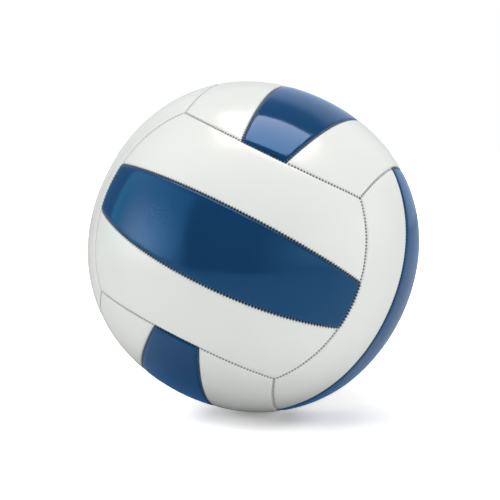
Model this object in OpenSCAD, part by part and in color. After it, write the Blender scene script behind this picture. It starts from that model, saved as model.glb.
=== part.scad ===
// Stitched indoor volleyball, size 5. Eighteen panels make six faces of three parallel strips each, and the
// strips of a face run across those of its neighbours. The ball's centre is the origin, +Z points up, and the
// ball lies turned as it does on the floor, so that its front face looks along -Y.

/* [Ball] */
// Diameter over the panels
ball_d = 210; // [190:1:230]
// Turn about X that lays the ball down, the first of three
lie_x = 78.5; // [-180:0.1:180]
// Turn about Y that follows it
lie_y = 22.9; // [-180:0.1:180]
// Turn about Z that comes last
lie_z = -18.9; // [-180:0.1:180]

/* [Seams] */
// Half of the angle that a face's middle strip spans, seen from the ball's centre
strip_angle = 13.7; // [10:0.1:18]
// Angle from the middle of a face to the middle of the edge that its strips end at
edge_angle = 53.9; // [50:0.1:54.6]
// Diameter of the sewing thread
thread_d = 0.5; // [0.3:0.05:0.8]
// Room on each side of the thread, between two turned-in panel edges
thread_clear = 0.1; // [0.05:0.01:0.2]

/* [Panels] */
// Thickness of the PVC cover
cover_t = 0.8; // [0.6:0.05:1.2]
// Depth of a turned-in panel edge, measured from the ball's surface
flange_h = 4; // [3:0.1:6]
// Radius that a panel rolls over with at its edges
roll_r = 1.4; // [1:0.1:3]
// Thickness of the foam and cloth glued inside a panel
backing_t = 2.8; // [2:0.1:4]
// Room left between two layers that lie on each other
layer_gap = 0.1; // [0.05:0.01:0.3]

/* [Bladder] */
// Thickness of the bladder's rubber
bladder_t = 0.7; // [0.4:0.1:1.2]

/* [Valve] */
// Diameter of the valve's neck, which comes out through the panel
neck_d = 8; // [7:0.1:12]
// Room round the neck in the panel, the backing, the patch and the bladder
neck_clear = 0.3; // [0.1:0.05:0.6]
// Depth that the neck's end lies below the ball's surface
neck_sink = 0.2; // [0.1:0.1:1.5]
// Diameter of the flange that bonds the valve to the bladder
valve_flange_d = 26; // [18:1:34]
// Thickness of that flange
valve_flange_t = 1.2; // [0.8:0.1:2]
// Length of the valve's body inside the bladder
body_h = 11; // [8:0.5:16]
// Diameter of the body at its inner end
body_end_d = 9; // [8:0.1:12]
// Diameter of the patch that stiffens the backing round the valve
patch_d = 36; // [30:1:42]
// Thickness of the patch
patch_t = 0.5; // [0.3:0.1:1]
// Diameter of the rubber plug inside the valve
plug_d = 4.6; // [4:0.1:5.4]
// Diameter of the plug's barb, which holds it in the body
barb_d = 6; // [5.6:0.1:6.6]
// Length of the barb
barb_h = 2.4; // [1.5:0.1:3]
// Room round the plug
plug_clear = 0.1; // [0.05:0.01:0.2]
// Depth that the plug's end lies below the neck's end
plug_sink = 0.1; // [0.1:0.1:1]
// Thickness of the body's wall below the plug
body_floor = 1.5; // [1:0.1:2.5]
// Diameter of the bore that takes the inflating needle
needle_d = 2.2; // [1.8:0.1:2.6]
// Length of the needle bore
needle_h = 10; // [7:0.5:12]
// Width of the countersink that guides the needle in
lead_w = 0.3; // [0.2:0.1:0.9]

/* [Hidden] */

// Faces: name, third turns about the diagonal, whether flipped first, the sides that its two side panels lie
// on, and the two faces that its strips end at
faces = [
    ["front", 0, false, ["upper", "lower"], ["right", "left"]],
    ["right", 1, false, ["front", "back"], ["top", "bottom"]],
    ["top", 2, false, ["right", "left"], ["front", "back"]],
    ["back", 0, true, ["lower", "upper"], ["right", "left"]],
    ["left", 1, true, ["back", "front"], ["top", "bottom"]],
    ["bottom", 2, true, ["left", "right"], ["front", "back"]]
];
// The face whose middle panel the valve is in
valve_face = faces[3];
// Strips of a face: its middle one, and one on either side
strips = [0, 1, -1];
sides = [1, -1];

function strip_name(face, strip) = strip == 0 ? "middle" : face[3][strip > 0 ? 0 : 1];
function piece_name(kind, face, strip) = str(kind, "_", face[0], "_", strip_name(face, strip));
function edge_name(face, side) = str("thread_edge_", face[0], "_", face[4][side > 0 ? 0 : 1]);

cover_blue = "#1b507a";
cover_white = "#eef0ea";
foam_grey = "#c9c6bd";
thread_grey = "#5a5f66";
rubber_black = "#26272a";

// Facets of the ball's great surfaces, of the small round parts and of a thread's section
ball_fn = 120;
valve_fn = 48;
thread_fn = 16;

ball_r = ball_d / 2;
// Reach of a cut past what it cuts
overrun = thread_d;
// Half of the gap between two neighbouring panels' turned-in edges
half_gap = thread_d / 2 + thread_clear;
// The centre of a roll's arc lies this share of its radius in, so that the arc meets both faces at a slight angle
roll_in_share = 0.97;
roll_in = roll_r * roll_in_share;

// Radii from the cover inwards
backing_r = ball_r - cover_t - layer_gap;
backing_in_r = backing_r - backing_t;
bladder_r = min(backing_in_r, ball_r - flange_h) - layer_gap;
bladder_in_r = bladder_r - bladder_t;
thread_r = ball_r - roll_r - thread_d;

// A corner of the ball lies equally far along X, Y and Z
corner_share = 1 / sqrt(3);
// The circle of a seam between two faces is tilted a little off square, to pass through both its corners
edge_tilt = atan((cos(edge_angle) - corner_share) / (sin(edge_angle) - corner_share));
// Half of the angle that this circle spans, seen from the ball's centre
edge_half_angle = acos(corner_share * (cos(edge_tilt) - sin(edge_tilt)));
// A strip's seams lie on great circles
great_half_angle = 90;

// Seams as cones from the ball's centre: the turn of the axis from Z, the cone's half angle, and 1 for a piece
// inside the cone or -1 for one outside it. They are those of the front face, before it is placed.
function strip_turn(side) = [-side * (90 + strip_angle), 0, 0];
function end_turn(side) = [0, -side * edge_tilt, 0];
end_seams = [for (side = sides) [end_turn(side), edge_half_angle, 1]];
middle_seams = concat(end_seams, [for (side = sides) [strip_turn(side), great_half_angle, -1]]);
side_seams = concat(end_seams, [
    [strip_turn(1), great_half_angle, 1],
    [[-(90 + edge_tilt), 0, 0], edge_half_angle, -1]
]);
function seams_of(strip) = strip == 0 ? middle_seams : side_seams;

// Half of a strip seam's angle, from its middle to where it meets the edge seam
end_slope = atan2(sin(edge_tilt), cos(edge_tilt) * cos(strip_angle));
end_reach = norm([sin(edge_tilt), cos(edge_tilt) * cos(strip_angle)]);
strip_seam_half = acos(cos(edge_half_angle) / end_reach) - end_slope;
// Half of an edge seam's angle about its own axis, from its middle to a corner of the ball
edge_seam_half = asin(corner_share / sin(edge_half_angle));
// A thread stops short of the seams that it runs up to
thread_stop = 4 * half_gap;

neck_r = ball_r - neck_sink;
neck_hole_d = neck_d + 2 * neck_clear;
flange_top_r = bladder_in_r - layer_gap;
body_end_r = flange_top_r - valve_flange_t - body_h;
body_top_d = body_end_d + 2 * valve_flange_t;
plug_r = neck_r - plug_sink;
plug_end_r = body_end_r + body_floor;
needle_end_r = plug_r - needle_h;

// Puts the front face's shapes in the place of another face, and lays the ball down
module at_face(face) {
    rotate([lie_x, lie_y, lie_z])
        rotate(a = 120 * face[1], v = [1, 1, 1])
            rotate([face[2] ? 180 : 0, 0, 0])
                children();
}

// A ball about the origin whose poles lie off the front face
module ball(radius) {
    rotate([0, 90, 0])
        sphere(r = radius, $fn = ball_fn);
}

// Section of what a seam cuts away: all that lies across it, and the corner outside the rolled-over edge. X is
// the distance from the ball's centre, and Y the distance from the seam.
module seam_section(inset) {
    translate([-ball_d, -ball_d])
        square([2 * ball_d, ball_d + half_gap + inset]);
    difference() {
        translate([ball_r - roll_in, 0])
            square([ball_d, half_gap + roll_in]);
        translate([ball_r - roll_in, half_gap + roll_in])
            circle(r = roll_r - inset, $fn = valve_fn);
    }
}

// What one seam cuts away from a layer that lies inset below the cover's faces
module seam_cut(seam, inset) {
    rotate(seam[0])
        rotate_extrude($fn = ball_fn)
            intersection() {
                translate([0, -ball_d])
                    square([ball_d, 2 * ball_d]);
                rotate(90 - seam[1])
                    scale([1, seam[2]])
                        seam_section(inset);
            }
}

// Cuts the children along the seams, one after another
module cut_by(seams, inset, first = 0) {
    if (first == len(seams))
        children();
    else
        difference() {
            cut_by(seams, inset, first + 1)
                children();
            seam_cut(seams[first], inset);
        }
}

// All of the ball that lies within one piece's seams and at least inset below the cover's faces
module layer(strip, inset) {
    rotate([0, 0, strip < 0 ? 180 : 0])
        cut_by(seams_of(strip), inset)
            ball(ball_r - inset);
}

// A hole along the valve's axis, from below the bladder to outside the ball
module valve_hole(diameter) {
    translate([0, 0, body_end_r])
        cylinder(d = diameter, h = ball_r - body_end_r + overrun, $fn = valve_fn);
}

// Cuts the valve's way through the children where they are the piece that holds the valve
module with_valve_hole(face, strip) {
    if (face == valve_face && strip == 0)
        difference() {
            children();
            valve_hole(neck_hole_d);
        }
    else
        children();
}

// One panel's PVC cover, rolled over and turned in along its four seams
module panel(face, strip) {
    color(strip == 0 ? cover_blue : cover_white)
        at_face(face)
            with_valve_hole(face, strip)
                difference() {
                    difference() {
                        layer(strip, 0);
                        layer(strip, cover_t);
                    }
                    ball(ball_r - flange_h);
                }
}

// The disc of a spherical shell about the valve's axis
module cap_disc(radius, thickness, diameter) {
    difference() {
        intersection() {
            ball(radius);
            valve_hole(diameter);
        }
        ball(radius - thickness);
    }
}

// Foam and cloth that fill one panel's cover, with a recess for the valve's patch
module backing(face, strip) {
    color(foam_grey)
        at_face(face)
            with_valve_hole(face, strip)
                difference() {
                    difference() {
                        layer(strip, cover_t + layer_gap);
                        ball(backing_in_r);
                    }
                    if (face == valve_face && strip == 0)
                        cap_disc(backing_in_r + patch_t + layer_gap, backing_t, patch_d + 2 * layer_gap);
                }
}

// A thread along a seam's circle, through half an angle either way of a middle
module thread_arc(half_angle, middle, reach) {
    run = reach - thread_stop / (thread_r * sin(half_angle)) * 180 / PI;
    rotate([0, 0, middle - run])
        rotate_extrude(angle = 2 * run, $fn = ball_fn)
            translate([thread_r * sin(half_angle), thread_r * cos(half_angle)])
                circle(d = thread_d, $fn = thread_fn);
}

// The two threads that join a face's three strips
module face_thread(face) {
    color(thread_grey)
        at_face(face)
            for (side = sides)
                rotate(strip_turn(side))
                    thread_arc(great_half_angle, -side * 90, strip_seam_half);
}

// The thread of the seam at one end of a face's strips
module edge_thread(face, side) {
    color(thread_grey)
        at_face(face)
            rotate(end_turn(side))
                thread_arc(edge_half_angle, side > 0 ? 0 : 180, edge_seam_half);
}

// The air bladder, open where the valve is bonded into it
module bladder() {
    color(rubber_black)
        at_face(valve_face)
            difference() {
                difference() {
                    ball(bladder_r);
                    ball(bladder_in_r);
                }
                valve_hole(neck_hole_d);
            }
}

// A shape about the valve's axis, from one distance from the ball's centre to another
module valve_stage(from_r, to_r, from_d, to_d) {
    translate([0, 0, from_r])
        cylinder(d1 = from_d, d2 = to_d, h = to_r - from_r, $fn = valve_fn);
}

// The plug's outline, made larger by a clearance for the room that it sits in
module plug_shape(clear) {
    barb_r = plug_end_r + barb_h;
    valve_stage(plug_end_r - clear, plug_r, plug_d + 2 * clear, plug_d + 2 * clear);
    valve_stage(plug_end_r - clear, barb_r + clear, plug_d + 2 * clear, barb_d + 2 * clear);
}

// Moulded valve body: a neck through the panel, a flange under the bladder's wall and a tapered body below it
module valve_seat() {
    color(rubber_black)
        at_face(valve_face)
            difference() {
                union() {
                    valve_stage(flange_top_r - valve_flange_t, neck_r, neck_d, neck_d);
                    cap_disc(flange_top_r, valve_flange_t, valve_flange_d);
                    valve_stage(body_end_r, flange_top_r - valve_flange_t, body_end_d, body_top_d);
                }
                plug_shape(plug_clear);
                valve_stage(plug_r, ball_r, plug_d + 2 * plug_clear, plug_d + 2 * plug_clear);
            }
}

// Rubber plug with a barb that holds it and a blind bore that takes the needle
module valve_insert() {
    color(foam_grey)
        at_face(valve_face)
            difference() {
                plug_shape(0);
                valve_stage(needle_end_r, ball_r, needle_d, needle_d);
                valve_stage(plug_r - lead_w, plug_r, needle_d, needle_d + 2 * lead_w);
            }
}

// Disc between the backing and the bladder, round the valve
module valve_patch() {
    color(thread_grey)
        at_face(valve_face)
            difference() {
                cap_disc(backing_in_r + patch_t, patch_t, patch_d);
                valve_hole(neck_hole_d);
            }
}

for (face = faces) {
    for (strip = strips) {
        panel(face, strip);
        backing(face, strip);
    }
    face_thread(face);
    for (side = sides)
        edge_thread(face, side);
}
bladder();
valve_seat();
valve_insert();
valve_patch();
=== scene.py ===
# %% [markdown]
# # A stitched volleyball
#
# The ball is 210 mm across and is sewn from 18 glossy PVC panels: six faces of three strips, the middle strip
# of each face in blue. Each panel is a thin cover over foam, its edges rolled over and turned in, and a
# waxed thread joins the turned-in edges, so only small stitches show in the seams. An air bladder with a
# rubber needle valve is inside.
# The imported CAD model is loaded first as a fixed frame, and every piece below is put where it says.

# %% The fixed frame
import math

import bmesh
import bpy
import numpy as np
from mathutils import Euler, Matrix, Vector


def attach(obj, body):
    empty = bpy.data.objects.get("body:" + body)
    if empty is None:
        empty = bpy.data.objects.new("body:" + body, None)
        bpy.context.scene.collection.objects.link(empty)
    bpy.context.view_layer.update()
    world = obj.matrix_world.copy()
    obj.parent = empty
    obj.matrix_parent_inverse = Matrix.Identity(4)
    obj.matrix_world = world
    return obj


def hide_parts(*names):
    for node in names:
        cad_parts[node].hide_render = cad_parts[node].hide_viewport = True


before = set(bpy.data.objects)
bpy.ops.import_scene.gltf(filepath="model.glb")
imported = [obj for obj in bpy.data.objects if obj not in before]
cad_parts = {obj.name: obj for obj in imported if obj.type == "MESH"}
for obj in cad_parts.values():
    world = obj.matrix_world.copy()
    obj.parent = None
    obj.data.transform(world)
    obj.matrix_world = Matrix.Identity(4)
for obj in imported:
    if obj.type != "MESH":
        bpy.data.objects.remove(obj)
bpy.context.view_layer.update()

scene = bpy.context.scene
MM = 0.001
BALL_R = 105 * MM

# %% [markdown]
# ## Camera
#
# The ball is seen from about ten degrees above the floor, through a long lens from one and a half metres away.
# A long lens keeps a ball's outline round, where a short one near by would stretch it towards the frame's
# corners. The small shift puts the ball a little off the frame's centre, as it is in the photograph.

# %% Camera
VIEW_ELEVATION = math.radians(10)
VIEW_DISTANCE = 1.5467
LENS, SENSOR = 175.6, 36  # in mm
SHIFT = (-0.00746, -0.00648)
camera = bpy.data.objects.new("camera", bpy.data.cameras.new("camera"))
scene.collection.objects.link(camera)
camera.location = VIEW_DISTANCE * Vector((0, -math.cos(VIEW_ELEVATION), math.sin(VIEW_ELEVATION)))
camera.rotation_euler = (math.pi / 2 - VIEW_ELEVATION, 0, 0)
camera.data.sensor_width, camera.data.lens = SENSOR, LENS
camera.data.shift_x, camera.data.shift_y = SHIFT
scene.camera = camera
scene.view_settings.view_transform = "Standard"
print("camera at", [round(c, 3) for c in camera.location])

# %% [markdown]
# ## How the panels are laid out
#
# All six faces are alike, so one face is described, looking out along Z with its strips along X. Each seam is
# where a cone from the ball's centre meets the ball: a strip seam lies on a great circle, and the seam between
# two faces on a slightly smaller one. A seam is kept as its cone's axis, its half angle, 1 if the piece lies
# inside the cone or -1 if outside, and the direction of the seam's middle. All else is measured from these.
# The two angles were measured in the photograph, as angles at the ball's centre.

# %% Seams of one face
HALF_GAP = 0.35 * MM  # half the space between two turned-in edges
STRIP_ANGLE = math.radians(13.7)  # from a face's middle to a strip seam
EDGE_ANGLE = math.radians(53.9)  # and to the seam with the next face
CORNER = 1 / math.sqrt(3)  # each coordinate of the corner where three faces meet, on a ball of radius 1
# The circle between two faces runs through two such corners and through the middle of their edge. This is
# how far its axis leans from the face's own, and its half angle.
EDGE_TILT = math.atan((math.cos(EDGE_ANGLE) - CORNER) / (math.sin(EDGE_ANGLE) - CORNER))
EDGE_HALF = math.acos(CORNER * (math.cos(EDGE_TILT) - math.sin(EDGE_TILT)))
BLUE_HALF = math.tan(STRIP_ANGLE) * math.cos(EDGE_ANGLE) * BALL_R + HALF_GAP  # half a blue strip's end


def polar(angle, across):
    """A direction that leans from Z by an angle, towards X or Y."""
    lean, rise = math.sin(angle), math.cos(angle)
    return np.array([lean, 0, rise] if across == "x" else [0, lean, rise])


def strip_seam(side, inside):
    return polar(side * (math.pi / 2 + STRIP_ANGLE), "y"), math.pi / 2, inside, polar(side * STRIP_ANGLE, "y")


def end_seam(side):
    return polar(-side * EDGE_TILT, "x"), EDGE_HALF, 1, polar(side * EDGE_ANGLE, "x")


side_seam = (polar(math.pi / 2 + EDGE_TILT, "y"), EDGE_HALF, -1, polar(math.pi / 2 - EDGE_ANGLE, "y"))
SEAMS = {
    "middle": [end_seam(1), end_seam(-1), strip_seam(1, -1), strip_seam(-1, -1)],
    "side": [end_seam(1), end_seam(-1), strip_seam(1, 1), side_seam],
}
print("the circle between two faces spans", round(2 * math.degrees(EDGE_HALF), 1), "degrees")

# %% Distances from a seam and along it


def unit(points):
    return points / np.linalg.norm(points, axis=1, keepdims=True)


def seam_distance(points, seam):
    """How far points lie inside a piece, from its turned-in edge at that seam."""
    axis, half_angle, inside, _ = seam
    angle = np.arccos(np.clip(unit(points) @ axis, -1, 1))
    return inside * BALL_R * (half_angle - angle) - HALF_GAP


def seam_run(points, seam):
    """How far points lie along a seam, from its middle."""
    axis, half_angle, _, middle = seam
    ahead = middle - axis * (middle @ axis)
    ahead /= np.linalg.norm(ahead)
    return BALL_R * math.sin(half_angle) * np.arctan2(points @ np.cross(axis, ahead), points @ ahead)


def seam_point(seam, run, radius):
    """The point of a seam at a run from its middle."""
    axis, half_angle, _, middle = seam
    ahead = middle - axis * (middle @ axis)
    ahead /= np.linalg.norm(ahead)
    turn = run / (BALL_R * math.sin(half_angle))
    flat = ahead * math.cos(turn) + np.cross(axis, ahead) * math.sin(turn)
    return radius * (axis * math.cos(half_angle) + flat * math.sin(half_angle))


print("run of a strip seam's middle:", seam_run(np.array([SEAMS["middle"][2][3]]), SEAMS["middle"][2])[0])

# %% Small helpers for edit mode


def start():
    """Leaves edit mode and deselects everything, so that an operator acts on the new primitive alone."""
    if bpy.context.mode != "OBJECT":
        bpy.ops.object.mode_set(mode="OBJECT")
    bpy.ops.object.select_all(action="DESELECT")


def pick(piece):
    start()
    piece.select_set(True)
    bpy.context.view_layer.objects.active = piece


def named(name):
    """The new primitive, named, with its place put into its mesh."""
    piece = bpy.context.object
    piece.name = piece.data.name = name
    bpy.ops.object.transform_apply(location=True, rotation=True, scale=True)
    return piece


def corners_of(piece):
    points = np.empty(3 * len(piece.data.vertices))
    piece.data.vertices.foreach_get("co", points)
    return points.reshape(-1, 3)


def put_corners(piece, points):
    piece.data.vertices.foreach_set("co", np.asarray(points, float).ravel())
    piece.data.update()


def finish_with(piece, kind, **settings):
    """Adds a modifier to a piece and applies it."""
    pick(piece)
    modifier = piece.modifiers.new(kind.title(), kind)
    for setting, value in settings.items():
        setattr(modifier, setting, value)
    bpy.ops.object.modifier_apply(modifier=modifier.name)


def smooth(piece, degrees=40):
    pick(piece)
    bpy.ops.object.shade_smooth_by_angle(angle=math.radians(degrees))


# %% [markdown]
# ## The panel's cover
#
# A panel starts as a fine globe whose poles lie across the strips, so that its rows of faces run along them.
# Bisecting it by a plane cuts the globe along a circle, which is just what a seam is. A few more cuts run beside
# each seam, closer and closer to it, and leave enough rows for the rolled edge. A cloth simulation could also
# puff a panel up, but a cut globe keeps every seam exactly on its circle.

# %% Cutting a sheet out of a globe
ROLL_R = 1.3 * MM
COVER_ROWS = [distance * MM for distance in (0.05, 0.15, 0.32, 0.55, 0.9, 1.3, 2.2, 3.6, 5.6)]
COVER_SEGMENTS = 360
LOWEST_KEPT = 0.3  # share of the globe's radius below which no panel reaches
CUT_ACCURACY, WELD = 1e-7, 0.02 * MM


def cut_sheet(name, seams, radius, segments, inset, rows):
    """A spherical sheet within four seams, with rows of faces along each."""
    start()
    bpy.ops.mesh.primitive_uv_sphere_add(
        segments=segments, ring_count=segments // 2, radius=radius, rotation=(math.pi / 2, 0, 0)
    )
    sheet = named(name)
    bpy.ops.object.mode_set(mode="EDIT")
    bpy.ops.mesh.select_all(action="SELECT")
    bpy.ops.mesh.bisect(plane_co=(0, 0, LOWEST_KEPT * radius), plane_no=(0, 0, 1), clear_inner=True)
    for distance in [inset] + [inset + row for row in rows]:
        for axis, half_angle, inside, _ in seams:
            angle = half_angle - inside * (distance + HALF_GAP) / BALL_R
            edge = distance == inset
            bpy.ops.mesh.select_all(action="SELECT")
            bpy.ops.mesh.bisect(
                plane_co=axis * radius * math.cos(angle),
                plane_no=axis,
                clear_inner=edge and inside > 0,
                clear_outer=edge and inside < 0,
                threshold=CUT_ACCURACY,
            )
    bpy.ops.mesh.select_all(action="SELECT")
    bpy.ops.mesh.remove_doubles(threshold=WELD)
    bpy.ops.object.mode_set(mode="OBJECT")
    return sheet


covers = {
    strip: cut_sheet("cover_" + strip, seams, BALL_R, COVER_SEGMENTS, 0, COVER_ROWS)
    for strip, seams in SEAMS.items()
}
print("cover sheets:", {strip: len(sheet.data.polygons) for strip, sheet in covers.items()})

# %% [markdown]
# ## Rolled-over edges
#
# Sewing pulls a panel's edges inwards, so the cover rolls over a quarter turn and ends in a flange that points
# at the ball's centre, and the foam lifts it a little before it rolls. The height at each point follows from
# its distance to the seams, so the points are set by that rule. The flange is the open edge, extruded and
# scaled towards the ball's centre, and a Solidify modifier gives the cover its 0.8 mm.

# %% Rolling a sheet's edges
CROWN = 0.25 * MM
CROWN_REACH = 4.5 * MM


def roll_edges(sheet, seams, radius, inset, roll):
    """Lowers the points of a sheet near its seams, so that its edges roll over."""
    points = corners_of(sheet)
    rolled, crowned = np.zeros(len(points)), np.zeros(len(points))
    for seam in seams:
        distance = np.maximum(seam_distance(points, seam) - inset, 0)
        left = np.clip(roll - distance, 0, roll)
        rolled += (roll - np.sqrt(np.maximum(roll**2 - left**2, 0))) ** 2
        crowned += CROWN * np.clip(1 - distance / CROWN_REACH, 0, 1) ** 2
    put_corners(sheet, unit(points) * (radius - np.sqrt(rolled) - crowned)[:, None])


for strip, sheet in covers.items():
    roll_edges(sheet, SEAMS[strip], BALL_R, 0, ROLL_R)
    print("lowest point of cover", strip, "in mm:", round(np.linalg.norm(corners_of(sheet), axis=1).min() / MM, 2))

# %% Turning the edges in and giving the covers their thickness
COVER_T = 0.8 * MM
BEND_SHARE, FLANGE_SHARE = 0.997, 0.9785  # of the radius, just under the roll and at the flange's end

for strip, cover in covers.items():
    pick(cover)
    bpy.ops.object.mode_set(mode="EDIT")
    bpy.ops.mesh.select_mode(type="EDGE")
    for share in (BEND_SHARE, FLANGE_SHARE / BEND_SHARE):
        bpy.ops.mesh.select_all(action="DESELECT")
        bpy.ops.mesh.select_non_manifold(
            use_wire=False, use_multi_face=False, use_non_contiguous=False, use_verts=False
        )
        bpy.ops.mesh.extrude_edges_move()
        bpy.ops.transform.resize(value=(share, share, share), center_override=(0, 0, 0))
    bpy.ops.mesh.select_mode(type="VERT")
    bpy.ops.object.mode_set(mode="OBJECT")
    linings = {"material_offset": 1, "material_offset_rim": 1}
    finish_with(cover, "SOLIDIFY", thickness=COVER_T, offset=-1, use_even_offset=True, **linings)
    smooth(cover)
    print("cover", strip, "faces:", len(cover.data.polygons))

# %% [markdown]
# ## A map that follows the seams
#
# Puckers and a painted shade gather along the seams, so the covers carry a UV map that isn't for a picture: U
# is the run along the nearest seam and V the distance from it, both in millimetres. A material can then count
# stitches by U and fade by V. Each face takes its own nearest seam, so the map has no smeared faces. An
# attribute marks the faces whose nearest seam has a blue panel on one side, where the painted seam shade is
# navy, beside the navy thread and the blue panel, and reaches further.

# %% Seam map


def map_seams(piece, seams):
    mesh = piece.data
    count = len(mesh.polygons)
    centres, totals = np.empty(3 * count), np.empty(count, int)
    mesh.polygons.foreach_get("center", centres)
    mesh.polygons.foreach_get("loop_total", totals)
    corner_points = np.empty(len(mesh.loops), int)
    mesh.loops.foreach_get("vertex_index", corner_points)
    points, centres = corners_of(piece), centres.reshape(-1, 3)
    nearest = np.argmin([seam_distance(centres, seam) for seam in seams], axis=0)
    runs = np.array([seam_run(points, seam) for seam in seams])
    distances = np.array([seam_distance(points, seam) for seam in seams])
    seam_of_corner = np.repeat(nearest, totals)
    flat = np.stack([runs[seam_of_corner, corner_points], distances[seam_of_corner, corner_points]], 1) / MM
    mesh.uv_layers.new(name="seam").data.foreach_set("uv", flat.ravel())
    # Faces beside a blue panel get the painted seam shade in navy.
    edge_runs = np.abs(seam_run(centres, seams[3]))
    beside = (nearest == 2) | ((nearest == 3) & (edge_runs < BLUE_HALF)) | (seams is SEAMS["middle"])
    mesh.attributes.new("beside_blue", "FLOAT", "FACE").data.foreach_set("value", beside.astype(float))


for strip, cover in covers.items():
    map_seams(cover, SEAMS[strip])
    print("seam map of cover", strip, "has", len(cover.data.loops), "corners")

# %% [markdown]
# ## Foam behind the cover
#
# Under each cover lies 2.8 mm of foam with cloth on its inner side. It is cut from a globe in the same way, a
# little smaller on each side than the space in the cover, and then extruded inwards as a whole, which closes it
# into a solid block.

# %% Foam blocks
FOAM_INSET = 0.9 * MM
FOAM_R, FOAM_IN_R = 104.1 * MM, 101.3 * MM
FOAM_SEGMENTS, FOAM_ROWS = 120, [0.3 * MM, 0.7 * MM, 1.2 * MM]
foams = {}
for strip, seams in SEAMS.items():
    foam = cut_sheet("foam_" + strip, seams, FOAM_R, FOAM_SEGMENTS, FOAM_INSET, FOAM_ROWS)
    pick(foam)
    bpy.ops.object.mode_set(mode="EDIT")
    bpy.ops.mesh.select_all(action="SELECT")
    bpy.ops.mesh.extrude_region_move()
    share = FOAM_IN_R / FOAM_R
    bpy.ops.transform.resize(value=(share, share, share), center_override=(0, 0, 0))
    bpy.ops.object.mode_set(mode="OBJECT")
    points = corners_of(foam)
    outer = np.linalg.norm(points, axis=1) > (FOAM_R + FOAM_IN_R) / 2
    roll_edges(foam, seams, FOAM_R, FOAM_INSET, ROLL_R - FOAM_INSET)
    put_corners(foam, np.where(outer[:, None], corners_of(foam), unit(points) * FOAM_IN_R))
    pick(foam)
    bpy.ops.object.mode_set(mode="EDIT")
    bpy.ops.mesh.select_all(action="SELECT")
    bpy.ops.mesh.normals_make_consistent(inside=False)
    bpy.ops.object.mode_set(mode="OBJECT")
    smooth(foam)
    foams[strip] = foam
print("foam faces:", {strip: len(foam.data.polygons) for strip, foam in foams.items()})

# %% [markdown]
# ## Placing the eighteen panels
#
# The strips of neighbouring faces run at right angles, so a face is put in place by third turns about the
# diagonal of the ball, and half a turn for the faces behind. Then the whole ball is laid down as it rests on
# the floor. A blown-up ball isn't quite round either: it stands out a little at its eight corners, where
# three faces meet, and is flatter over the faces. The valve's patch stiffens the back, which stays round.

# %% Places of the faces
LIE = Euler([math.radians(angle) for angle in (78.5, 22.9, -18.9)]).to_matrix().to_4x4()
FACES = {  # third turns, turned to the back or not, names of the two side strips and of the two ends
    "front": (0, False, ("upper", "lower"), ("right", "left")),
    "right": (1, False, ("front", "back"), ("top", "bottom")),
    "top": (2, False, ("right", "left"), ("front", "back")),
    "back": (0, True, ("lower", "upper"), ("right", "left")),
    "left": (1, True, ("back", "front"), ("top", "bottom")),
    "bottom": (2, True, ("left", "right"), ("front", "back")),
}


def place_of(face):
    thirds, flipped = FACES[face][:2]
    turned = Matrix.Rotation(math.radians(120 * thirds), 4, Vector((1, 1, 1)))
    return LIE @ turned @ Matrix.Rotation(math.pi if flipped else 0, 4, "X")


LUMP = 0.042
LUMP_MEAN = 0.6  # the mean of x^4 + y^4 + z^4 over a unit ball's surface
CALM_FROM, CALM_OVER = 0.3, 0.45  # cosine of the angle to the valve where the lumps start to end, and its span
VALVE_AXIS = np.array(LIE.to_3x3() @ Vector((0, 0, -1)))


def swell(piece):
    """Draws a piece in over the ball's faces and out over its corners."""
    points = corners_of(piece)
    own = unit(points) @ np.array(LIE.to_3x3())
    calm = np.clip((unit(points) @ VALVE_AXIS - CALM_FROM) / CALM_OVER, 0, 1)
    lump = -LUMP * ((own**4).sum(1) - LUMP_MEAN) * (1 - calm**2 * (3 - 2 * calm))
    put_corners(piece, points * (1 + lump)[:, None])


def copied(master, name, place):
    """A copy of a master piece with its own mesh, put in place and swollen with the ball."""
    piece = bpy.data.objects.new(name, master.data.copy())
    piece.data.name = name
    scene.collection.objects.link(piece)
    piece.data.transform(place)
    swell(piece)
    return piece


# %% Copying the covers and foams
HALF_TURN = Matrix.Rotation(math.pi, 4, "Z")
panels, paddings = {}, {}
for face, (_, _, side_names, _) in FACES.items():
    for strip, turned in (("middle", False), (side_names[0], False), (side_names[1], True)):
        kind = "middle" if strip == "middle" else "side"
        place = place_of(face) @ (HALF_TURN if turned else Matrix())
        piece_name = face + "_" + strip
        panels[piece_name] = copied(covers[kind], "cover_" + piece_name, place)
        paddings[piece_name] = copied(foams[kind], "foam_" + piece_name, place)
for master in list(covers.values()) + list(foams.values()):
    bpy.data.objects.remove(master)
lowest = min(corners_of(panel)[:, 2].min() for panel in panels.values())
print("panels:", len(panels), "lowest point in mm:", round(lowest / MM, 2))

# %% [markdown]
# ## Stitches
#
# The thread runs inside the seam and shows only where it crosses from one panel to the other, as a row of short
# rungs in the groove. There are many hundreds, so one rung is modelled with few faces: two strands side by
# side, each a bisected cylinder whose ends are bent down into the panels. The rungs of a seam are joined into
# one mesh, because they are one thread. It is navy where one of the panels is blue and pale elsewhere, which
# two material slots keep apart.

# %% One rung of two strands
STITCH_PITCH = 2.05 * MM
RUNG_R = 104.2 * MM  # how far a rung lies from the ball's centre
STRAND_R, STRAND_LENGTH, STRAND_ASIDE = 0.28 * MM, 1.9 * MM, 0.27 * MM
BEND_AT, BEND_LEAN = 0.45 * MM, 0.09
END_FROM, END_DIP = 0.8 * MM, 0.4 * MM  # where a strand's end starts, and how far it is pushed down
start()
bpy.ops.mesh.primitive_cylinder_add(
    vertices=6, radius=STRAND_R, depth=STRAND_LENGTH, rotation=(math.pi / 2, 0, 0)
)
rung = named("rung")
bpy.ops.object.mode_set(mode="EDIT")
for side in (-1, 1):
    bpy.ops.mesh.select_all(action="SELECT")
    bpy.ops.mesh.bisect(plane_co=(0, side * BEND_AT, 0), plane_no=(0, 1, side * BEND_LEAN))
bpy.ops.object.mode_set(mode="OBJECT")
for vertex in rung.data.vertices:
    vertex.select = abs(vertex.co.y) > END_FROM
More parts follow.
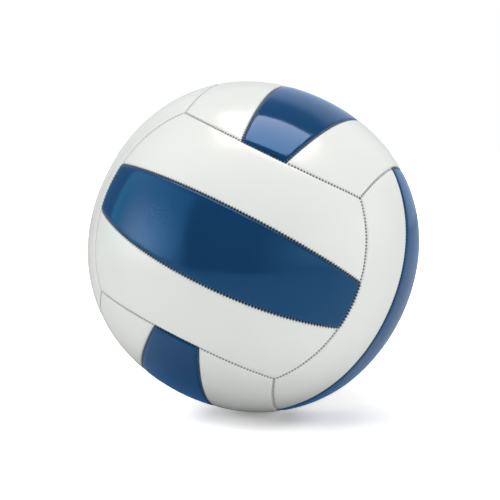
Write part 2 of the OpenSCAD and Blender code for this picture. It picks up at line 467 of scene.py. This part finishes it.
bpy.ops.object.mode_set(mode="EDIT")
bpy.ops.transform.translate(value=(0, 0, -END_DIP))
bpy.ops.mesh.select_all(action="SELECT")
bpy.ops.transform.translate(value=(STRAND_ASIDE, 0, 0))
bpy.ops.mesh.duplicate_move(TRANSFORM_OT_translate={"value": (-2 * STRAND_ASIDE, 0, 0)})
bpy.ops.object.mode_set(mode="OBJECT")
smooth(rung, 60)
print("faces of a rung:", len(rung.data.polygons))

# %% Rows of rungs along the seams


def rung_places(seam, half_length):
    """Where the rungs of a seam lie: X along it, Y across it and Z outwards."""
    count = int(half_length / STITCH_PITCH)
    for step in range(-count, count + 1):
        out = Vector(seam_point(seam, step * STITCH_PITCH, 1))
        along = Vector(seam_point(seam, (step + 0.01) * STITCH_PITCH, 1)) - out
        along = (along - out * along.dot(out)).normalized()
        turn = Matrix((along, out.cross(along), out)).transposed().to_4x4()
        yield step * STITCH_PITCH, Matrix.Translation(out * RUNG_R) @ turn


def sew(name, seams, half_length, blue_half, place):
    """One thread's rungs along one or two seams of a face, up to a run of blue_half beside a blue panel."""
    rungs = bmesh.new()
    for seam in seams:
        for run, rung_place in rung_places(seam, half_length):
            before, faces_before = len(rungs.verts), len(rungs.faces)
            rungs.from_mesh(rung.data)
            rungs.verts.ensure_lookup_table()
            bmesh.ops.transform(rungs, matrix=place @ rung_place, verts=rungs.verts[before:])
            for face in list(rungs.faces)[faces_before:]:
                face.material_index = int(abs(run) > blue_half)
    mesh = bpy.data.meshes.new(name)
    rungs.to_mesh(mesh)
    rungs.free()
    piece = bpy.data.objects.new(name, mesh)
    scene.collection.objects.link(piece)
    swell(piece)
    return piece


BARE_END = 1.2 * MM  # left without rungs at each end of a seam
STRIP_SEAM_HALF = math.radians(52.7) * BALL_R - BARE_END
EDGE_SEAM_HALF = math.asin(CORNER / math.sin(EDGE_HALF)) * BALL_R * math.sin(EDGE_HALF) - BARE_END
threads = {}
for face, (_, _, _, end_names) in FACES.items():
    place, strip_seams = place_of(face), [strip_seam(1, 1), strip_seam(-1, 1)]
    threads[face] = sew("stitches_" + face, strip_seams, STRIP_SEAM_HALF, BALL_R, place)
    for side, end in zip((1, -1), end_names):
        key = "edge_" + face + "_" + end
        threads[key] = sew("stitches_" + key, [end_seam(side)], EDGE_SEAM_HALF, BLUE_HALF, place)
bpy.data.objects.remove(rung)
print("threads:", len(threads), "faces:", sum(len(thread.data.polygons) for thread in threads.values()))

# %% [markdown]
# ## Bladder
#
# The bladder is a thin butyl balloon that lines the ball. It starts as a globe of even rows, takes the ball's
# own lumps, and gets its 0.7 mm inwards with Solidify. The valve is bonded into a hole in it.

# %% Bladder
BLADDER_R, BLADDER_T = 100.9 * MM, 0.7 * MM
start()
bpy.ops.mesh.primitive_uv_sphere_add(segments=96, ring_count=48, radius=BLADDER_R)
bladder = named("bladder_balloon")
swell(bladder)
finish_with(bladder, "SOLIDIFY", thickness=BLADDER_T, offset=-1, use_even_offset=True)
smooth(bladder)
print("bladder faces:", len(bladder.data.polygons))

# %% [markdown]
# ## The way for the valve
#
# The valve's neck comes out through the middle panel of the back. One cutter, a cylinder with a flared mouth,
# bores the cover, the foam and the bladder with Boolean modifiers, and its flare leaves a small chamfer on the
# cover's rim, as a punched and pressed hole has.

# %% Boring the valve's hole
HOLE_R = 4.3 * MM
CUTTER_TOP, CUTTER_HEIGHT = 104.6 * MM, 20 * MM
FLARE = ((0.45, 1.11), (2, 1))  # rise in mm and growth of the cutter's top, step by step
valve_turn = place_of("back").to_3x3().to_4x4()
start()
bpy.ops.mesh.primitive_cylinder_add(
    vertices=48, radius=HOLE_R, depth=CUTTER_HEIGHT, location=(0, 0, CUTTER_TOP - CUTTER_HEIGHT / 2)
)
cutter = named("cutter")
bpy.ops.object.mode_set(mode="EDIT")
bpy.ops.mesh.select_mode(type="FACE")
bpy.ops.mesh.select_all(action="DESELECT")
bpy.ops.object.mode_set(mode="OBJECT")
for polygon in cutter.data.polygons:
    polygon.select = polygon.normal.z > 0.9
bpy.ops.object.mode_set(mode="EDIT")
for rise, growth in FLARE:
    bpy.ops.mesh.extrude_region_move(TRANSFORM_OT_translate={"value": (0, 0, rise * MM)})
    bpy.ops.transform.resize(value=(growth, growth, 1))
bpy.ops.object.mode_set(mode="OBJECT")
cutter.data.transform(valve_turn)
for piece in (panels["back_middle"], paddings["back_middle"], bladder):
    finish_with(piece, "BOOLEAN", object=cutter, operation="DIFFERENCE", solver="EXACT")
    smooth(piece)
    print(piece.name, "bored, faces:", len(piece.data.polygons))
bpy.data.objects.remove(cutter)

# %% [markdown]
# ## Needle plug
#
# A soft plug sits in the valve's body and closes by itself when the needle is drawn out. It is a turned shape,
# so its outline is drawn as a chain of points in one plane and spun round the valve's axis: a rounded mouth
# with a countersink, the blind bore for the needle, and a barb at the foot that holds it.

# %% Spinning the plug
PLUG_MOUTH, PLUG_FOOT = 104.7, 89.4  # heights of its ends above the ball's centre in mm
PLUG_STEPS = 40
outline = [(0, 94.7), (0.75, 94.75), (1.1, 95.1), (1.1, 104.15), (1.22, 104.45), (1.45, 104.66), (1.7, PLUG_MOUTH)]
outline += [(1.95, 104.68), (2.17, 104.58), (2.3, 104.35), (2.3, 91.8), (2.9, 91.8), (3, 91.7), (3, 91.2)]
outline += [(2.45, PLUG_FOOT + 0.1), (2.3, PLUG_FOOT), (0, PLUG_FOOT)]
start()
bpy.ops.mesh.primitive_plane_add(size=MM)
plug = named("needle_plug")
bpy.ops.object.mode_set(mode="EDIT")
bpy.ops.mesh.select_mode(type="VERT")
bpy.ops.mesh.select_all(action="SELECT")
bpy.ops.mesh.merge(type="CENTER")
bpy.ops.transform.translate(value=(outline[0][0] * MM, 0, outline[0][1] * MM))
for (x0, z0), (x1, z1) in zip(outline, outline[1:]):
    bpy.ops.mesh.extrude_region_move(TRANSFORM_OT_translate={"value": ((x1 - x0) * MM, 0, (z1 - z0) * MM)})
bpy.ops.mesh.select_all(action="SELECT")
bpy.ops.mesh.spin(steps=PLUG_STEPS, angle=2 * math.pi, center=(0, 0, 0), axis=(0, 0, 1))
bpy.ops.mesh.select_all(action="SELECT")
bpy.ops.mesh.remove_doubles(threshold=0.001 * MM)
bpy.ops.mesh.normals_make_consistent(inside=False)
bpy.ops.object.mode_set(mode="OBJECT")
plug.data.transform(valve_turn)
smooth(plug)
print("plug faces:", len(plug.data.polygons))

# %% [markdown]
# ## Effects that several finishes share
#
# PVC for balls is cast on grained paper and then glazed, so it mirrors lamps sharply but a little unevenly.
# The grain, the slow waves and a few creased spots on the front are one node group, in metres, for a Bump
# node. A second group reads the seam map and gives the puckers that the stitches pull into the edges, and a
# mask for the shade that is painted into a seam's colour. A seam gapes between two stitches, so the painted
# shade reaches furthest there, which gives the dotted line of the real seams.

# %% Node helpers


def feed(tree, value, socket):
    """Links another node's output to a socket, or sets the socket's plain value."""
    if isinstance(value, bpy.types.NodeSocket):
        tree.links.new(value, socket)
    else:
        socket.default_value = value


def new_group(name, inputs, outputs):
    group = bpy.data.node_groups.new(name, "ShaderNodeTree")
    for label, value in inputs:
        group.interface.new_socket(label, in_out="INPUT", socket_type="NodeSocketFloat").default_value = value
    for label in outputs:
        group.interface.new_socket(label, in_out="OUTPUT", socket_type="NodeSocketFloat")
    return group, group.nodes.new("NodeGroupInput").outputs, group.nodes.new("NodeGroupOutput").inputs


def math_node(tree, operation, first, second=0.0, third=0.0):
    node = tree.nodes.new("ShaderNodeMath")
    node.operation = operation
    for socket, value in zip(node.inputs, (first, second, third)):
        feed(tree, value, socket)
    return node.outputs[0]


def noise_node(tree, vector, scale, detail=2.0, distortion=0.0):
    node = tree.nodes.new("ShaderNodeTexNoise")
    tree.links.new(vector, node.inputs["Vector"])
    for label, value in (("Scale", scale), ("Detail", detail), ("Distortion", distortion)):
        node.inputs[label].default_value = value
    return node.outputs["Fac"]


def distance_node(tree, place, middle):
    node = tree.nodes.new("ShaderNodeVectorMath")
    node.operation = "DISTANCE"
    tree.links.new(place, node.inputs[0])
    node.inputs[1].default_value = middle
    return node.outputs["Value"]


def ramp_node(tree, value, start, end, eased=False):
    """Goes from start's second number to end's while the value goes from start's first number to end's."""
    node = tree.nodes.new("ShaderNodeMapRange")
    node.interpolation_type = "SMOOTHSTEP" if eased else "LINEAR"
    tree.links.new(value, node.inputs["Value"])
    for label, number in zip(("From Min", "To Min", "From Max", "To Max"), (*start, *end)):
        node.inputs[label].default_value = number
    return node.outputs["Result"]


def shader_node(tree, kind, *sources, **values):
    """A shader node whose shader sockets take the sources in turn, and whose named ones take the values."""
    node = tree.nodes.new("ShaderNode" + kind)
    for socket, source in zip([s for s in node.inputs if s.type == "SHADER"], sources):
        tree.links.new(source, socket)
    for label, value in values.items():
        feed(tree, value, node.inputs[label])
    return node.outputs[0]


# %% Glazed grain
GRAIN_SCALE, WAVE_SCALE, STRAY_SCALE, PATCH_SCALE = 800, 55, 150, 30
WRINKLE_PITCH, WRINKLE_STRAY = 4.5 * MM, 14 * math.pi
WRINKLES = [((-26, -101.5, -7), 7), ((-57, -81, 34), 14), ((-50, -92, 8), 6)]  # their middles and reach in mm
glaze, given, put = new_group(
    "glazed grain", [("Grain depth", 9e-6), ("Wave depth", 5e-5), ("Wrinkle depth", 2.4e-5)], ["Height", "Patches"]
)
place = glaze.nodes.new("ShaderNodeTexCoord").outputs["Object"]
pebbles = glaze.nodes.new("ShaderNodeTexVoronoi")
pebbles.feature = "SMOOTH_F1"
pebbles.inputs["Scale"].default_value = GRAIN_SCALE
glaze.links.new(place, pebbles.inputs["Vector"])
grain = math_node(glaze, "MULTIPLY", pebbles.outputs["Distance"], given["Grain depth"])
waves = math_node(glaze, "MULTIPLY", noise_node(glaze, place, WAVE_SCALE, 1.0, 0.3), given["Wave depth"])
stray = math_node(glaze, "MULTIPLY", noise_node(glaze, place, STRAY_SCALE, 1.0, 0.5), WRINKLE_STRAY)
wrinkled = 0.0
for at, reach in WRINKLES:
    away = distance_node(glaze, place, [c * MM for c in at])
    rings = math_node(glaze, "SINE", math_node(glaze, "MULTIPLY_ADD", away, 2 * math.pi / WRINKLE_PITCH, stray))
    square = math_node(glaze, "POWER", math_node(glaze, "DIVIDE", away, reach * MM), 2.0)
    fade = math_node(glaze, "EXPONENT", math_node(glaze, "MULTIPLY", square, -1.0))
    wrinkled = math_node(glaze, "MULTIPLY_ADD", rings, fade, wrinkled)
wrinkles = math_node(glaze, "MULTIPLY", wrinkled, given["Wrinkle depth"])
glaze.links.new(math_node(glaze, "ADD", math_node(glaze, "ADD", grain, waves), wrinkles), put["Height"])
glaze.links.new(noise_node(glaze, place, PATCH_SCALE, 4.0), put["Patches"])
print("group:", glaze.name)

# %% Pull of the stitches, and the painted seam shade
# Shade is a mask for painted shade in a seam's colour, reaching furthest between two stitches.
SHADE_MEAN, SHADE_SWING = 0.58, 0.42  # how far the shade reaches on average, and how much that swings
pull, given, put = new_group(
    "stitch pull", [("Depth", 1.2e-4), ("Reach", 0.8), ("Shade reach", 0.75)], ["Height", "Shade"]
)
seam_map = pull.nodes.new("ShaderNodeUVMap")
seam_map.uv_map = "seam"
split = pull.nodes.new("ShaderNodeSeparateXYZ")
pull.links.new(seam_map.outputs["UV"], split.inputs[0])
run, away = split.outputs["X"], math_node(pull, "MAXIMUM", split.outputs["Y"], 0.0)
phase = math_node(pull, "MULTIPLY", run, 2 * math.pi * MM / STITCH_PITCH)
stitch = math_node(pull, "COSINE", phase)
share = math_node(pull, "DIVIDE", away, given["Reach"])
fade = math_node(pull, "EXPONENT", math_node(pull, "MULTIPLY", share, -1.0))
dips = math_node(pull, "MULTIPLY", math_node(pull, "MULTIPLY", stitch, -1.0), fade)
pull.links.new(math_node(pull, "MULTIPLY", dips, given["Depth"]), put["Height"])
swing = math_node(pull, "MULTIPLY_ADD", stitch, -SHADE_SWING, SHADE_MEAN)
scallop = math_node(pull, "MULTIPLY", swing, given["Shade reach"])
near = math_node(pull, "MULTIPLY", math_node(pull, "POWER", math_node(pull, "DIVIDE", away, scallop), 2.0), -1.0)
pull.links.new(math_node(pull, "EXPONENT", near), put["Shade"])
print("group:", pull.name)

# %% [markdown]
# ## Finishes
#
# The covers are PVC: a body colour under a smooth, clear skin. Roughness stays low, the colour drifts slightly
# over a panel, and in a seam it falls to a painted grey shade, or to a painted navy shade beside a blue panel.
# The blue pigment also tints what the skin mirrors and gives it a faint sheen where one looks along it. Both
# are set on the shader's own specular and sheen tints. Foam, thread and rubber are plainly matt.

# %% Helpers for finishes


def new_finish(name, roughness, **settings):
    """A material with its Principled shader's plain values set."""
    finish = bpy.data.materials.new(name)
    finish.use_nodes = True
    shader = finish.node_tree.nodes["Principled BSDF"]
    shader.inputs["Roughness"].default_value = roughness
    for label, value in settings.items():
        shader.inputs[label.replace("_", " ")].default_value = value
    return finish, finish.node_tree, shader


def blend_colours(tree, factor, first, second):
    node = tree.nodes.new("ShaderNodeMix")
    node.data_type = "RGBA"
    tree.links.new(factor, node.inputs["Factor"])
    for label, value in (("A", first), ("B", second)):
        socket = next(s for s in node.inputs if s.name == label and s.type == "RGBA")
        feed(tree, (*value, 1) if isinstance(value, tuple) else value, socket)
    return next(s for s in node.outputs if s.type == "RGBA")


def add_bump(tree, shader, height):
    """Bends the shader's normal by a height in metres."""
    bump = tree.nodes.new("ShaderNodeBump")
    bump.inputs["Distance"].default_value = bump.inputs["Strength"].default_value = 1.0
    tree.links.new(height, bump.inputs["Height"])
    tree.links.new(bump.outputs["Normal"], shader.inputs["Normal"])


def use_group(tree, group, **values):
    node = tree.nodes.new("ShaderNodeGroup")
    node.node_tree = group
    for label, value in values.items():
        feed(tree, value, node.inputs[label.replace("_", " ")])
    return node.outputs


# %% Blue and white PVC
# Painted shade in the seams: grey between white panels, dark navy beside a blue panel, and how far it reaches.
GREY_SEAM_SHADE, NAVY_SEAM_SHADE = (0.2, 0.22, 0.25), (0.002, 0.02, 0.055)
GREY_SHADE_REACH, NAVY_SHADE_REACH = 0.36, 0.8  # in mm
ROUGHNESS_DRIFT = 0.04


def glazed_pvc(name, light, dark, roughness, gloss, tint, **sheen):
    """Glossy PVC whose colour drifts from light to dark and falls to a painted seam shade at the edges."""
    finish, tree, shader = new_finish(
        name, roughness, IOR=1.5, Specular_IOR_Level=gloss, Specular_Tint=(*tint, 1), **sheen
    )
    beside_blue = tree.nodes.new("ShaderNodeAttribute")
    beside_blue.attribute_name = "beside_blue"
    beside_blue = beside_blue.outputs["Fac"]
    # Painted seam shade: the colour falls to grey or navy as far as the group's Shade mask reaches.
    reach = math_node(tree, "MULTIPLY_ADD", beside_blue, NAVY_SHADE_REACH - GREY_SHADE_REACH, GREY_SHADE_REACH)
    skin = use_group(tree, glaze)
    edge = use_group(tree, pull, Shade_reach=reach)
    drift = blend_colours(tree, skin["Patches"], light, dark)
    colour = blend_colours(tree, edge["Shade"], drift, blend_colours(tree, beside_blue, GREY_SEAM_SHADE, NAVY_SEAM_SHADE))
    tree.links.new(colour, shader.inputs["Base Color"])
    gleam = math_node(tree, "MULTIPLY_ADD", skin["Patches"], ROUGHNESS_DRIFT, roughness - ROUGHNESS_DRIFT / 2)
    tree.links.new(gleam, shader.inputs["Roughness"])
    add_bump(tree, shader, math_node(tree, "ADD", skin["Height"], edge["Height"]))
    return finish


white_pvc = glazed_pvc(
    "white_pvc", light=(0.84, 0.86, 0.83), dark=(0.8, 0.82, 0.79), roughness=0.2, gloss=0.25, tint=(1, 1, 1)
)
blue_pvc = glazed_pvc(
    "blue_pvc",
    light=(0.006, 0.042, 0.115),
    dark=(0.005, 0.037, 0.104),
    roughness=0.09,
    gloss=0.5,
    tint=(0.18, 0.55, 1),
    Sheen_Weight=0.45,
    Sheen_Roughness=0.5,
    Sheen_Tint=(0.1, 0.4, 1, 1),
)
print("finishes:", white_pvc.name, blue_pvc.name)

# %% Foam, thread and rubber
FOAM_CELLS, FOAM_DEPTH = 900, 1e-4  # scale of the pattern per metre, and depth of the bumps in metres
TWIST_SCALE, TWIST_DEPTH = 2500, 5e-5
PORE_DEPTH = 2e-5
foam_cloth, tree, shader = new_finish("foam_cloth", 0.95)
place = tree.nodes.new("ShaderNodeTexCoord").outputs["Object"]
cells = noise_node(tree, place, FOAM_CELLS, 3.0)
tree.links.new(blend_colours(tree, cells, (0.72, 0.7, 0.64), (0.5, 0.48, 0.43)), shader.inputs["Base Color"])
add_bump(tree, shader, math_node(tree, "MULTIPLY", cells, FOAM_DEPTH))


def waxed(name, light, dark):
    finish, tree, shader = new_finish(name, 0.55)
    place = tree.nodes.new("ShaderNodeTexCoord").outputs["Object"]
    twist = noise_node(tree, place, TWIST_SCALE, 2.0)
    tree.links.new(blend_colours(tree, twist, light, dark), shader.inputs["Base Color"])
    add_bump(tree, shader, math_node(tree, "MULTIPLY", twist, TWIST_DEPTH))
    return finish


pale_thread = waxed("pale_thread", (0.8, 0.8, 0.78), (0.55, 0.55, 0.54))
navy_thread = waxed("navy_thread", (0.1, 0.18, 0.3), (0.05, 0.1, 0.18))


def rubber(name, light, dark, roughness, pore_scale):
    finish, tree, shader = new_finish(name, roughness)
    place = tree.nodes.new("ShaderNodeTexCoord").outputs["Object"]
    pores = noise_node(tree, place, pore_scale, 3.0)
    tree.links.new(blend_colours(tree, pores, light, dark), shader.inputs["Base Color"])
    add_bump(tree, shader, math_node(tree, "MULTIPLY", pores, PORE_DEPTH))
    return finish


black_rubber = rubber("black_rubber", (0.035, 0.035, 0.037), (0.02, 0.02, 0.021), 0.5, 700)
butyl = rubber("butyl", (0.03, 0.03, 0.03), (0.018, 0.018, 0.018), 0.38, 180)
pale_rubber = rubber("pale_rubber", (0.6, 0.59, 0.54), (0.48, 0.47, 0.43), 0.6, 900)
matt = (foam_cloth, pale_thread, navy_thread, black_rubber, butyl, pale_rubber)
print("finishes:", [finish.name for finish in matt])

# %% [markdown]
# ## Handing the pieces to the frame
#
# Each new piece rides on the ball's only body and takes its finishes, and the CAD node that it stands for is
# hidden. The valve's body and the cloth patch behind it have the right shape already, so those two CAD nodes
# stay and only get a better finish.

# %% Riding, replacing and finishing


def hand_over(piece, node, slot, *finishes):
    while len(piece.data.materials) < len(finishes):
        piece.data.materials.append(None)
    for index, finish in enumerate(finishes):
        piece.data.materials[index] = finish
    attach(piece, "root")
    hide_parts(node)


for key, panel in panels.items():
    blue = key.endswith("middle")
    slot, pvc = ("cover_blue", blue_pvc) if blue else ("cover_white", white_pvc)
    hand_over(panel, "panel_" + key, slot, pvc, foam_cloth)
    hand_over(paddings[key], "backing_" + key, "backing", foam_cloth)
for key, thread in threads.items():
    hand_over(thread, "thread_" + key, "thread", navy_thread, pale_thread)
hand_over(bladder, "bladder", "bladder_rubber", butyl)
hand_over(plug, "valve_insert", "plug_rubber", pale_rubber)
for node, finish in (("valve_seat", black_rubber), ("valve_patch", foam_cloth)):
    for material_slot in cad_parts[node].material_slots:
        material_slot.material = finish
print("pieces handed over:", len(panels) + len(paddings) + len(threads) + 2)

# %% [markdown]
# ## Floor and light
#
# The ball lies on a white sweep. A wide softbox hangs over it, screens glow softly at its left and right, and
# a white wall stands behind it. What a glossy ball shows is mostly its studio, so each lamp is put where its
# mirror image lies on the ball. How strongly a lamp is mirrored and how strongly it lights are set apart, as a
# photographer does with filters and flags. The sweep's shadows are partly cast by the lamps and partly painted:
# the sweep glows with painted light that is faint near the ball and grows to plain white away from it. What
# the ball's gloss mirrors of the sweep is painted too: lighter in front, with painted shade under the ball.
# The sweep can be seen through from below.

# %% What each kind of ray sees


def by_ray(tree, lighting, mirrored, seen):
    """One shader for the light that falls on the ball, one for what its gloss mirrors, one for the camera."""
    rays = tree.nodes.new("ShaderNodeLightPath").outputs
    unseen = shader_node(tree, "MixShader", lighting, mirrored, Fac=rays["Is Glossy Ray"])
    return shader_node(tree, "MixShader", unseen, seen, Fac=rays["Is Camera Ray"])


# %% Floor
FLOOR_SEEN, FLOOR_BOUNCE = 1.12, 0.8  # its whiteness for the camera and for the light that it throws back
# Painted light and shade in the floor that the ball's gloss mirrors: lighter in front, darker under the ball.
FLOOR_MIRRORED = ((-150 * MM, 1.6), (50 * MM, 0.6))  # brightness in the ball's gloss, in front and behind
FLOOR_UNDER_BALL = (-25 * MM, 0)
FLOOR_PAINTED_SHADE = ((50 * MM, 0.15), (120 * MM, 1))  # share of that brightness, by distance from there
# The floor's shadows are partly cast by the lamps and partly painted by this glow, which is faint at each middle.
PAINTED_SHADOWS = {  # middle along X and Y, radius from which and up to which the floor brightens, and by how much
    "contact": (-5 * MM, -31 * MM, 11 * MM, 54 * MM, 0.35),
    "cast": (60 * MM, 0, 60 * MM, 132 * MM, 0.5),
}
FLOOR_LIFT = 0.12  # how much brighter it is everywhere
FLOOR_CLEARANCE = 0.05 * MM
floor_height = lowest - FLOOR_CLEARANCE
start()
bpy.ops.mesh.primitive_plane_add(size=2.4, location=(0, 0, floor_height))
floor = named("floor")
sweep = bpy.data.materials.new("sweep")
sweep.use_nodes = True
tree = sweep.node_tree
place = tree.nodes.new("ShaderNodeTexCoord").outputs["Object"]
# Painted light: the floor's glow, faint at the painted shadows and full away from the ball.
painted_floor_glow = FLOOR_LIFT
for middle_x, middle_y, near, far, gain in PAINTED_SHADOWS.values():
    away = distance_node(tree, place, (middle_x, middle_y, floor_height))
    brighter = ramp_node(tree, away, (near, 0), (far, gain), eased=True)
    painted_floor_glow = math_node(tree, "ADD", brighter, painted_floor_glow)
white_seen = shader_node(tree, "BsdfDiffuse", Color=(FLOOR_SEEN, FLOOR_SEEN, FLOOR_SEEN, 1))
seen = shader_node(tree, "AddShader", white_seen, shader_node(tree, "Emission", Strength=painted_floor_glow))
bounce = shader_node(tree, "BsdfDiffuse", Color=(FLOOR_BOUNCE, FLOOR_BOUNCE, FLOOR_BOUNCE, 1))
depth = tree.nodes.new("ShaderNodeSeparateXYZ")
tree.links.new(place, depth.inputs[0])
# Painted shade under the ball, in the floor as its gloss sees it.
away = distance_node(tree, place, (*FLOOR_UNDER_BALL, floor_height))
painted_shade_under_ball = ramp_node(tree, away, *FLOOR_PAINTED_SHADE)
brightness = math_node(tree, "MULTIPLY", ramp_node(tree, depth.outputs["Y"], *FLOOR_MIRRORED), painted_shade_under_ball)
mirrored = shader_node(tree, "BsdfDiffuse", Color=brightness)
above = by_ray(tree, bounce, mirrored, seen)
from_below = tree.nodes.new("ShaderNodeNewGeometry").outputs["Backfacing"]
sides = shader_node(tree, "MixShader", above, shader_node(tree, "BsdfTransparent"), Fac=from_below)
tree.links.new(sides, tree.nodes["Material Output"].inputs["Surface"])
floor.data.materials.append(sweep)
print("floor at", round(floor_height / MM, 2), "mm")

# %% The softbox overhead
SOFTBOX_HEIGHT, SOFTBOX_SIZE, SOFTBOX_SHIFT = 1.2, (1.1, 0.74), (0.17, 0.01)
SOFTBOX_TURN = math.radians(-12)
SOFTBOX_GLOW, SOFTBOX_SHINE = 3.3, 6.7
SHINE_TINT = (1.35, 1.03, 1)
LAMP_GAP = 10 * MM  # the second lamp hangs a little higher, since two in one place would count as one


def overhead(name, glow, lights_diffusely, tint):
    """The softbox as the ball's own colours see it, or as its gloss mirrors it."""
    lamp = bpy.data.lights.new(name, "AREA")
    lamp.color = tint
    lamp.shape = "RECTANGLE"
    lamp.size, lamp.size_y = SOFTBOX_SIZE
    lamp.energy = glow * math.pi * lamp.size * lamp.size_y
    softbox = bpy.data.objects.new(name, lamp)
    softbox.location = (*SOFTBOX_SHIFT, SOFTBOX_HEIGHT + (0 if lights_diffusely else LAMP_GAP))
    softbox.rotation_euler.z = SOFTBOX_TURN
    softbox.visible_camera = False
    softbox.visible_diffuse = lights_diffusely
    softbox.visible_glossy = not lights_diffusely
    scene.collection.objects.link(softbox)
    print(name, "power:", round(lamp.energy, 1), "W")


overhead("softbox", SOFTBOX_GLOW, True, (1, 1, 1))
overhead("softbox_shine", SOFTBOX_SHINE, False, SHINE_TINT)

# %% Soft glows of the room
# Azimuth from the camera towards the right, elevation, half width and half height in degrees, the share of them
# over which the edge fades, brightness, and the colour in which the ball's gloss shows it
GLOWS = {
    "room": (0, 0, 400, 400, 0.1, 0.1, (1, 1, 1)),
    "wall": (168, 8, 36, 33, 0.2, 0.55, (0.9, 0.96, 0.98)),
    "left": (-84, 12, 36, 26, 0.1, 1.1, (0.2, 0.84, 1.12)),
    "left_heart": (-76, 6, 18, 14, 1, 2.2, (2.4, 1.7, 1.55)),
    "left_high": (-85, 50, 32, 20, 0.8, 1.0, (1, 1, 1)),
    "front": (-5, 12, 25, 20, 0.9, 0.45, (0.3, 0.3, 0.3)),
    "right_front": (45, 6, 30, 14, 0.8, 3.2, (0.5, 0.5, 0.5)),
    "right": (88, 6, 18, 14, 0.7, 1.6, (0.95, 0.95, 0.95)),
}
world = bpy.data.worlds.new("studio")
world.use_nodes = True
scene.world = world
tree = world.node_tree
tree.nodes.clear()
direction = tree.nodes.new("ShaderNodeSeparateXYZ")
tree.links.new(tree.nodes.new("ShaderNodeTexCoord").outputs["Generated"], direction.inputs[0])
x, y, z = direction.outputs
around = math_node(tree, "ARCTAN2", x, math_node(tree, "MULTIPLY", y, -1.0))
up = math_node(tree, "ARCSINE", z)


def fall(value, half, fade):
    """1 in the middle of a glow and 0 outside it, eased in between."""
    half = math.radians(half)
    near, far = (half * (1 - fade), 1), (half * (1 + fade), 0)
    return ramp_node(tree, math_node(tree, "ABSOLUTE", value), near, far, eased=True)


total, mirrored = 0.0, None
for azimuth, elevation, half_width, half_height, fade, brightness, tint in GLOWS.values():
    turned = math_node(tree, "SUBTRACT", around, math.radians(azimuth))
    aside = math_node(tree, "WRAP", turned, math.pi, -math.pi)
    above = math_node(tree, "SUBTRACT", up, math.radians(elevation))
    shape = math_node(tree, "MULTIPLY", fall(aside, half_width, fade), fall(above, half_height, fade))
    total = math_node(tree, "MULTIPLY_ADD", shape, brightness, total)
    coloured = tree.nodes.new("ShaderNodeVectorMath")
    coloured.operation = "MULTIPLY_ADD"
    tree.links.new(shape, coloured.inputs[0])
    coloured.inputs[1].default_value = [brightness * part for part in tint]
    if mirrored:
        tree.links.new(mirrored, coloured.inputs[2])
    mirrored = coloured.outputs["Vector"]
room = shader_node(tree, "Background", Color=(1, 1, 1, 1), Strength=total)
gloss = shader_node(tree, "Background", Color=mirrored)
plain_white = shader_node(tree, "Background", Color=(1, 1, 1, 1))
studio = by_ray(tree, room, gloss, plain_white)
tree.links.new(studio, tree.nodes.new("ShaderNodeOutputWorld").inputs["Surface"])
print("glows:", list(GLOWS))
